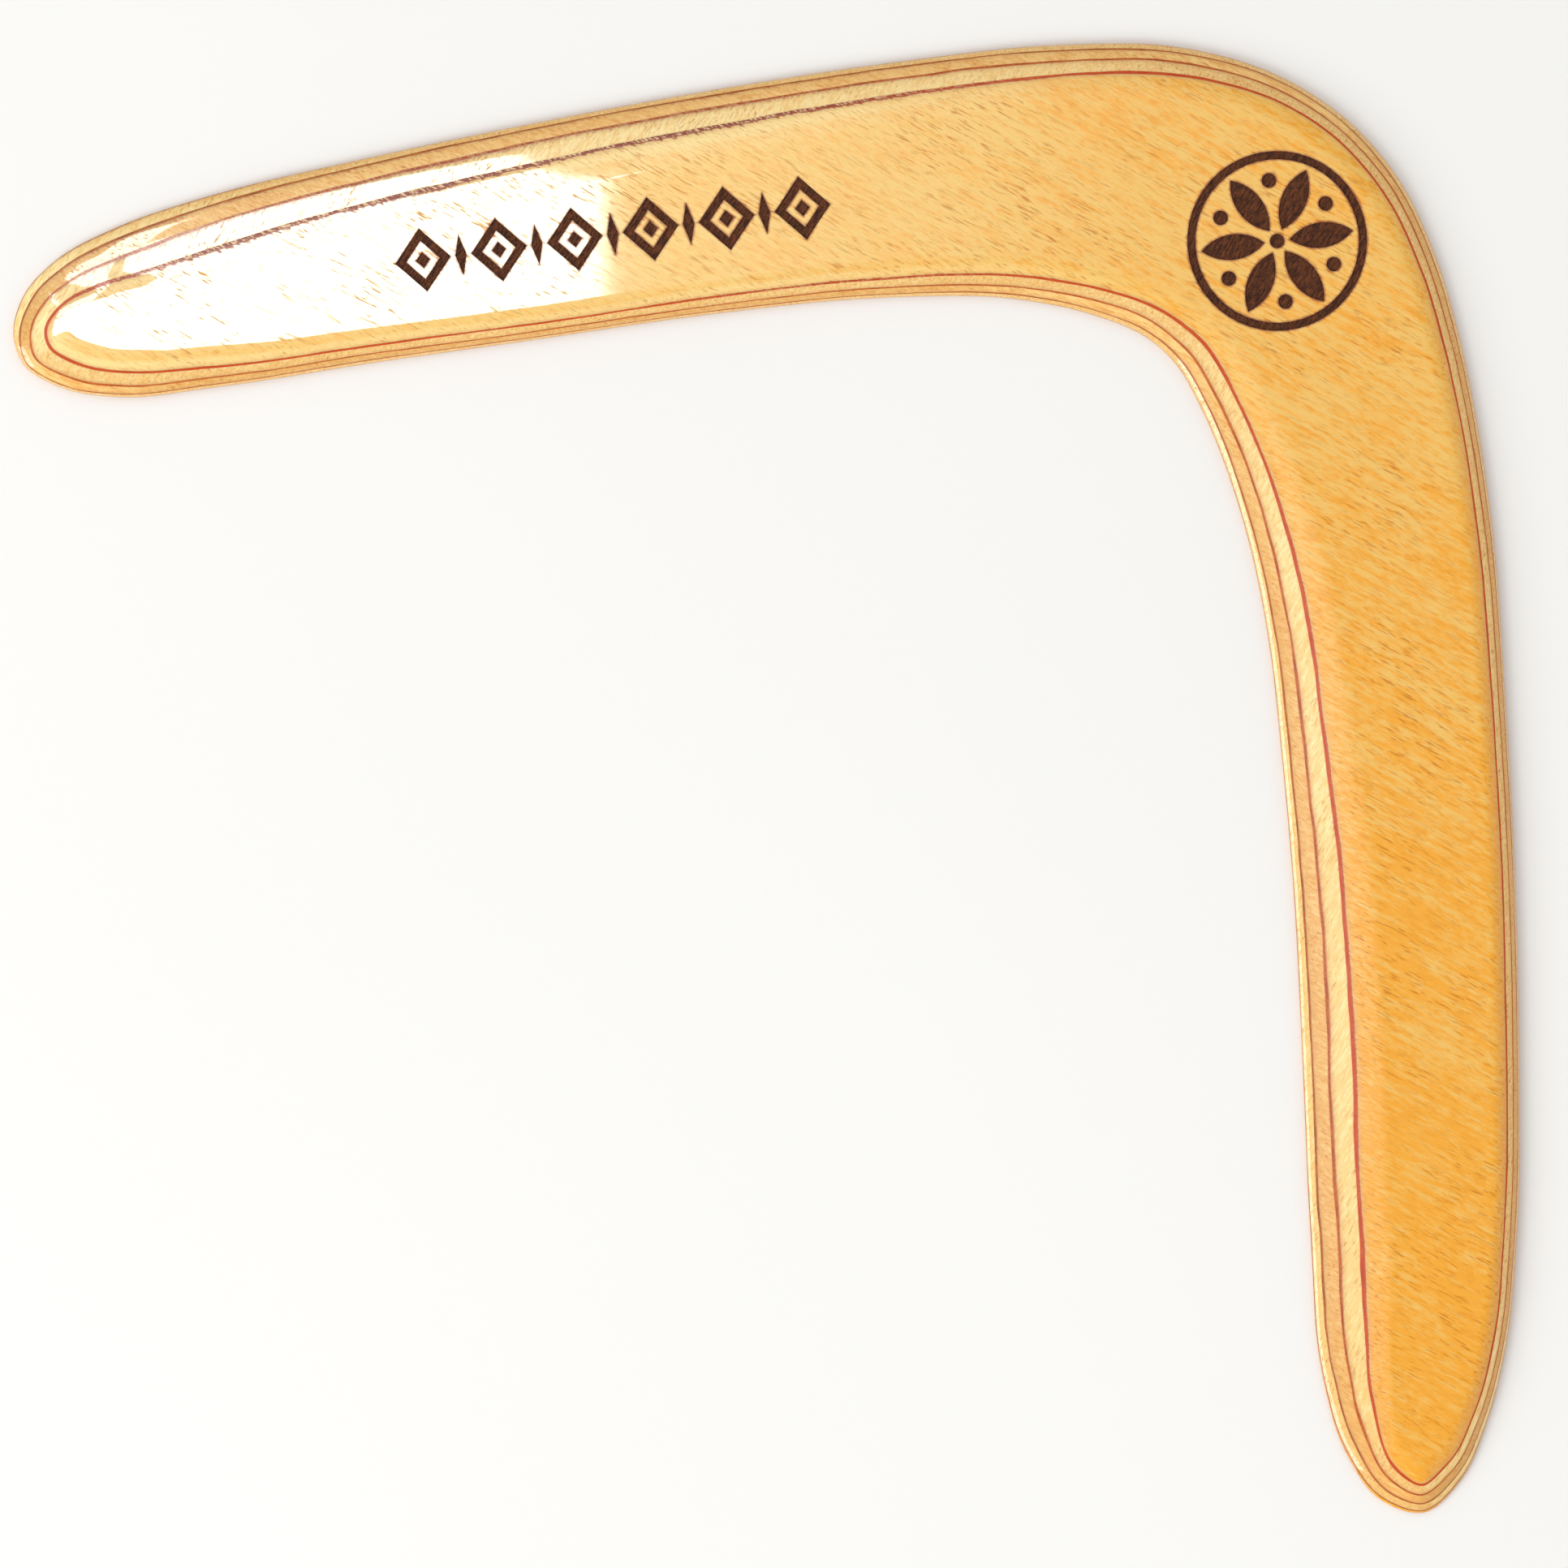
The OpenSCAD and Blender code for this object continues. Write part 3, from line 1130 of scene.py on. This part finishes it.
@dataclass
class FaceSheet(Layer):
    """The top veneer, with its crown and its burnt marks.

    Attributes:
        char: Finish of the burnt floors.
        close_grid: Distance between points near a mark.
        wide_grid: Distance between points elsewhere.
        near: How far from an outline the close points reach.
        margin: How far around the marks places for close points are tried.
        halo: Reach of the scorched rim around a mark.
        grit: Usual height of the char's grit.
        level: How far from an outline the char has no grit.
        first_step: Least height of the second ring above the lower edge.
        outline_steps: Steps along each side of an outline when distances to it are looked up.
    """

    char: Char = Char("charred_wood")
    close_grid: float = 0.45 * MM
    wide_grid: float = 2.6 * MM
    near: float = 1.3 * MM
    margin: float = 2 * MM
    halo: float = 0.8 * MM
    grit: float = 0.018 * MM
    level: float = 0.1 * MM
    first_step: float = 0.05 * MM
    outline_steps: int = 12

    def shares(self) -> list[float]:
        """Places of the rings, at the same steps as the skin's, so that the crown is evenly round.

        Returns:
            The places, from 0 at the lower edge to 1 at the upper.
        """
        low, high = float(self.low.min()), float(self.high.max())
        heights = self.skin.heights
        inside = heights[(heights > low + self.first_step) & (heights < high)]
        return [0.0, *((inside[::2] - low) / (high - low)).tolist(), 1.0]

    def marked(self, spots: Points) -> Points:
        """Tells which spots lie inside a mark.

        Args:
            spots: Places on the face.

        Returns:
            True for each spot inside.
        """
        crossings = np.zeros(len(spots), int)
        for loop in self.skin.floors:
            box_low, box_high = loop[:, :2].min(axis=0), loop[:, :2].max(axis=0)
            near = np.where(np.all((spots >= box_low) & (spots <= box_high), axis=1))[0]
            x, y = spots[near, 0][:, None], spots[near, 1][:, None]
            ends = np.roll(loop, -1, axis=0)
            spans = (loop[:, 1] > y) != (ends[:, 1] > y)
            rise = np.where(ends[:, 1] == loop[:, 1], 1, ends[:, 1] - loop[:, 1])
            at = loop[:, 0] + (ends[:, 0] - loop[:, 0]) * (y - loop[:, 1]) / rise
            crossings[near] += np.sum(spans & (x < at), axis=1)
        return crossings % 2 == 1

    def grid_points(self, outlines: KDTree, rim: KDTree) -> list[Vector]:
        """Spreads points over the face, close together near the marks.

        Args:
            outlines: Points on the outlines of the marks.
            rim: Points on the rim of the flat.

        Returns:
            The points.
        """
        chosen = []
        marks = np.concatenate(self.skin.floors)
        for pitch, low, high in (
            (self.close_grid, marks.min(axis=0) - self.margin, marks.max(axis=0) + self.margin),
            (self.wide_grid, np.array(cad_box[0]), np.array(cad_box[1])),
        ):
            for row, y in enumerate(np.arange(low[1], high[1], pitch * math.sqrt(3) / 2)):
                for x in np.arange(low[0] + row % 2 * pitch / 2, high[0], pitch):
                    gap = outlines.find((x, y, 0))[2]
                    if pitch == self.close_grid:
                        wanted = 0.3 * pitch < gap < self.near
                    else:
                        wanted = gap > self.near + 0.4 * pitch and rim.find((x, y, 0))[2] > 0.5 * pitch
                    if wanted:
                        chosen.append(Vector((x, y)))
        return chosen

    def outlines(self) -> KDTree:
        """Tree of points all along the outlines of the marks.

        Returns:
            The tree.
        """
        shares = np.arange(self.outline_steps)[:, None, None] / self.outline_steps
        sides = [loop + (np.roll(loop, -1, axis=0) - loop) * shares for loop in self.skin.floors]
        return plan_tree(np.concatenate([side.reshape(-1, 3) for side in sides]))

    def close(self, mesh: Mesh, top: int) -> None:
        """Lays the flat of the face, with the marks let into it.

        Args:
            mesh: The mesh to add to.
            top: Place of the rim's first point.
        """
        count = self.skin.count
        rim = np.array(mesh.points[top:top + count])
        outlines = self.outlines()
        spots = [Vector(point[:2]) for point in rim]
        edges = [(place, (place + 1) % count) for place in range(count)]
        for loop in self.skin.floors:
            first = len(spots)
            spots.extend(Vector(point[:2]) for point in loop)
            edges.extend((first + place, first + (place + 1) % len(loop)) for place in range(len(loop)))
        spots.extend(self.grid_points(outlines, plan_tree(rim)))
        flat, _, triangles, origins, _, _ = delaunay_2d_cdt(spots, edges, [list(range(count))], 1, 1e-9)
        places = np.array([tuple(spot) for spot in flat])
        triangles = np.array([list(triangle) for triangle in triangles])
        inside = self.marked(places[triangles].mean(axis=1))

        face_z, floor_z = rim[0, 2], self.skin.floors[0][0, 2]
        gaps = np.array([outlines.find((x, y, 0))[2] for x, y in places])
        scorch = np.clip(1 - gaps / self.halo, 0, 1)
        upper: dict[int, int] = {}
        outer = [place for place, source in enumerate(origins) if source and source[0] < count]
        for place in outer:
            upper[place] = top + origins[place][0]
        for place in np.unique(triangles[~inside]):
            if int(place) not in upper:
                spot = np.array([[*places[place], face_z]])
                upper[int(place)] = mesh.add_points(spot, scorch=scorch[place])
        lower: dict[int, int] = {}
        rng = np.random.default_rng(GRIT_SEED)
        for place in np.unique(triangles[inside]):
            dip = rng.normal(0, self.grit) if gaps[place] > self.level else 0.0
            spot = np.array([[*places[place], floor_z + dip]])
            lower[int(place)] = mesh.add_points(spot, scorch=1.0)
        straight_up = [(0.0, 0.0, 1.0)]
        for triangle, sunk in zip(triangles.tolist(), inside.tolist()):
            lookup = lower if sunk else upper
            mesh.add_face([lookup[place] for place in triangle], straight_up, int(sunk))
        self.wall_marks(mesh, places, triangles[inside].tolist(), upper, lower)

    def wall_marks(
        self, mesh: Mesh, places: Points, sunk: list[list[int]], upper: dict[int, int], lower: dict[int, int]
    ) -> None:
        """Adds the upright walls of the marks.

        Args:
            mesh: The mesh to add to.
            places: Places of the points on the face.
            sunk: Triangles of the marks' floors.
            upper: The mesh's point at the height of the face, for each place.
            lower: The mesh's point at the height of the floors, for each place.
        """
        sides = [side for triangle in sunk for side in zip(triangle, triangle[1:] + triangle[:1])]
        borders = dict.fromkeys(sides)
        for start, end in borders:
            if (end, start) not in borders:
                along = places[end] - places[start]
                size = math.hypot(*along)
                normal = (-along[1] / size, along[0] / size, 0.0)
                mesh.add_face((upper[start], upper[end], lower[end], lower[start]), [normal], 1)

    def materials(self) -> list[Material]:
        """The wood, and the char of the marks."""
        return [self.finish.material(), self.char.material()]


@dataclass
class Plywood:
    """The five veneers and the four glue films between them.

    Attributes:
        skin: The boomerang's outside.
        wander: How far a glue line strays up and down.
        swell: How much a glue film's thickness varies.
        most_swell: The most that it varies by.
        back_rungs: Steps across the underside, which shows.
        film_rings: Steps from a glue film's lower to its upper edge.
        inner_bleeding: Strength of the glue's colour in the inner veneers.
        face_painted_glare: Strength of the painted reflection on the face.
    """

    skin: Skin
    wander: float = 0.02 * MM
    swell: float = 0.02 * MM
    most_swell: float = 0.05 * MM
    back_rungs: int = 12
    film_rings: int = 2
    inner_bleeding: float = 0.4
    face_painted_glare: float = 0.9

    def interfaces(self) -> list[Interface]:
        """Places of the glue films, from the lowest to the highest.

        Returns:
            The four films' faces.
        """
        found = []
        for seed, node in enumerate(("back", "lower", "upper", "face")):
            low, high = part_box(node + "_glue_film")
            stray = self.skin.wander(STRAY_SEED + seed, self.wander)
            swell = self.skin.wander(SWELL_SEED + seed, self.swell)
            swell = np.clip(swell, -self.most_swell, self.most_swell)
            found.append(Interface(low.z + stray - swell / 2, high.z + stray + swell / 2))
        return found

    def build(self) -> list[bpy.types.Object]:
        """Builds all nine sheets, the lowest first.

        Returns:
            The pieces.
        """
        films = self.interfaces()
        flat = np.zeros(self.skin.count)
        underside, face = flat + cad_box[0].z, flat + cad_box[1].z
        along, across = Grain.ALONG, Grain.ACROSS
        back_wood = Wood("back_veneer_wood", along, FACE_TONES)
        back = Layer("back_veneer", "face_wood", back_wood, self.skin, underside, films[0].low)
        back.rungs, back.glued_below = self.back_rungs, False
        pieces = [back.build()]
        for node, slot, grain, tones, place in (
            ("lower_crossband", "pale_wood", across, PALE_TONES, 0),
            ("core_veneer", "core_wood", along, CORE_TONES, 1),
            ("upper_crossband", "pale_wood", across, PALE_TONES, 2),
        ):
            wood = Wood(node + "_wood", grain, tones, bleeding=self.inner_bleeding)
            low, high = films[place].high, films[place + 1].low
            pieces.append(Layer(node, slot, wood, self.skin, low, high).build())
        for node, dark, warm, fray, film in (
            ("back_glue_film", tone(132, 68, 14), tone(186, 108, 44), 0.0, films[0]),
            ("lower_glue_film", tone(142, 66, 8), tone(192, 108, 40), 0.0, films[1]),
            ("upper_glue_film", tone(160, 60, 2), tone(200, 104, 36), 0.3, films[2]),
            ("face_glue_film", tone(186, 54, 0), tone(206, 82, 18), 0.85, films[3]),
        ):
            glue = Glue(node + "_resin", dark, warm, fray=fray)
            sheet = Layer(node, "glue", glue, self.skin, film.low, film.high, rings=self.film_rings)
            pieces.append(sheet.build())
        face_wood = Wood("face_veneer_wood", along, FACE_TONES, painted_glare_strength=self.face_painted_glare)
        front = FaceSheet("face_veneer", "face_wood", face_wood, self.skin, films[3].high, face)
        front.glued_above = False
        pieces.append(front.build())
        return pieces


# ---------------------------------------------------------------- studio


@dataclass(frozen=True)
class SoftBox:
    """Evenly bright rectangle that lights the boomerang.

    Attributes:
        name: Its name.
        place: Its middle.
        aim: The point that it looks at.
        size: Its width and height.
        glow: Its brightness.
        shows: True if it shows as a reflection.
        lights: True if it lights the wood and the floor.
        turn: Angle in degrees by which it turns about its own axis.
    """

    name: str
    place: Vector
    aim: Vector
    size: Span
    glow: float
    shows: bool = True
    lights: bool = True
    turn: float = 0.0

    def hang(self) -> None:
        """Hangs it up."""
        data = bpy.data.lights.new(self.name, "AREA")
        data.shape = "RECTANGLE"
        data.size, data.size_y = self.size
        data.energy = 4 * self.glow * self.size[0] * self.size[1]
        made = bpy.data.objects.new(self.name, data)
        made.location = self.place
        aimed = (self.aim - self.place).to_track_quat("-Z", "Y")
        made.rotation_euler = (aimed @ Quaternion((0, 0, 1), math.radians(self.turn))).to_euler()
        made.visible_diffuse = self.lights
        made.visible_glossy = self.shows
        bpy.context.scene.collection.objects.link(made)


@dataclass
class Studio:
    """Pale floor, soft lights and a camera that looks straight down.

    Attributes:
        camera_at: Place of the camera.
        view_width: Width of what it sees at the middle height of the bevels.
        sensor: Width of its sensor in millimetres.
        white: Colour of the floor.
        speck: Colour of the floor's fine grain.
        floor_size: Width of the floor.
        floor_gap: Gap under the boomerang.
        room_colour: Colour of the light from all around.
        room_glow: Strength of that light.
        window_edge: Right edge and lower edge of the window's panes.
        window_height: Height of the panes above the floor.
    """

    camera_at: Vector = field(default_factory=lambda: Vector((3.02, -0.98, 2500)) * MM)
    view_width: float = 270.5 * MM
    sensor: float = 36.0
    white: Colour = tone(238, 238, 236)
    speck: Colour = tone(243, 243, 242)
    floor_size: float = 8.0
    floor_gap: float = 0.2 * MM
    room_colour: Colour = (1.0, 0.99, 0.975)
    room_glow: float = 0.76
    window_edge: Vector = field(default_factory=lambda: Vector((-47, 60)) * MM)
    window_height: float = 1.5

    def floor(self) -> None:
        """Lays the floor."""
        shader = Shader("studio_floor")
        place = shader.node("ShaderNodeTexCoord").outputs["Object"]
        grain = shader.noise(place, (0.3, 0.3, 0.3), 2, 0.5)
        colour = shader.mixed(self.white, self.speck, grain)
        material = shader.finished({"Base Color": colour, "Roughness": 0.9})
        under = (0, 0, cad_box[0].z - self.floor_gap)
        bpy.ops.mesh.primitive_plane_add(size=self.floor_size, location=under)
        floor = bpy.context.object
        floor.name = "studio_floor"
        floor.data.materials.append(material)

    def pane(self, name: str, corner: Vector, size: Span, glow: float, turn: float) -> SoftBox:
        """One pane of the window, which looks straight down.

        Args:
            name: Its name.
            corner: How far its lower right corner is to the left of and above the window's.
            size: Its width and height.
            glow: Its brightness.
            turn: Angle in degrees by which it turns about that corner.

        Returns:
            The pane.
        """
        inward = Vector((-size[0] / 2, size[1] / 2))
        inward.rotate(Matrix.Rotation(math.radians(turn), 2))
        middle = self.window_edge + Vector((-corner.x, corner.y)) + inward
        place = Vector((*middle, self.window_height))
        return SoftBox(name, place, place - Vector((0, 0, 1)), size, glow, lights=False, turn=turn)

    def lights(self) -> None:
        """Hangs the lamps and lights the room."""
        world = bpy.data.worlds.new("studio")
        world.use_nodes = True
        background = world.node_tree.nodes["Background"]
        background.inputs["Color"].default_value = (*self.room_colour, 1.0)
        background.inputs["Strength"].default_value = self.room_glow
        bpy.context.scene.world = world
        for name, corner, size, glow, turn in (
            ("window_right", (0, 0), (0.12, 0.17), 22.0, 0.0),
            ("window_left", (0.12, 0.03), (1.08, 0.3), 22.0, 0.0),
            ("window_leaning", (0.012, 0.16), (1.1, 0.92), 17.0, 14.0),
            ("window_corner", (0.5, 0.9), (0.8, 0.34), 13.0, 0.0),
        ):
            self.pane(name, Vector(corner), size, glow, turn).hang()
        middle = Vector((0, 0, 0))
        SoftBox("side_glow", Vector((-1.6, -0.65, 0.5)), middle, (1.1, 0.8), 6.0, lights=False).hang()
        SoftBox("soft_key", Vector((-1.2, -0.9, 1.1)), middle, (1.2, 1.2), 3.2, shows=False).hang()

    def camera(self) -> None:
        """Sets up the camera."""
        data = bpy.data.cameras.new("camera")
        data.sensor_width = self.sensor
        distance = self.camera_at.z - (cad_box[0].z + cad_box[1].z) / 2
        data.lens = data.sensor_width * distance / self.view_width
        made = bpy.data.objects.new("camera", data)
        made.location = self.camera_at
        bpy.context.scene.collection.objects.link(made)
        bpy.context.scene.camera = made

    def build(self) -> None:
        """Builds the whole studio."""
        self.camera()
        self.floor()
        self.lights()
        bpy.context.scene.view_settings.view_transform = "Standard"
        LOG.info("studio: camera, floor and lights")


def main() -> None:
    """Builds the boomerang and its studio."""
    logging.basicConfig(level=logging.INFO, format="%(message)s")
    Studio().build()
    skin = Skin(frame["nodes"])
    LOG.info("skin: %d points around, %.0f mm", skin.count, skin.perimeter / MM)
    Plywood(skin).build()


if __name__ == "__main__":
    main()
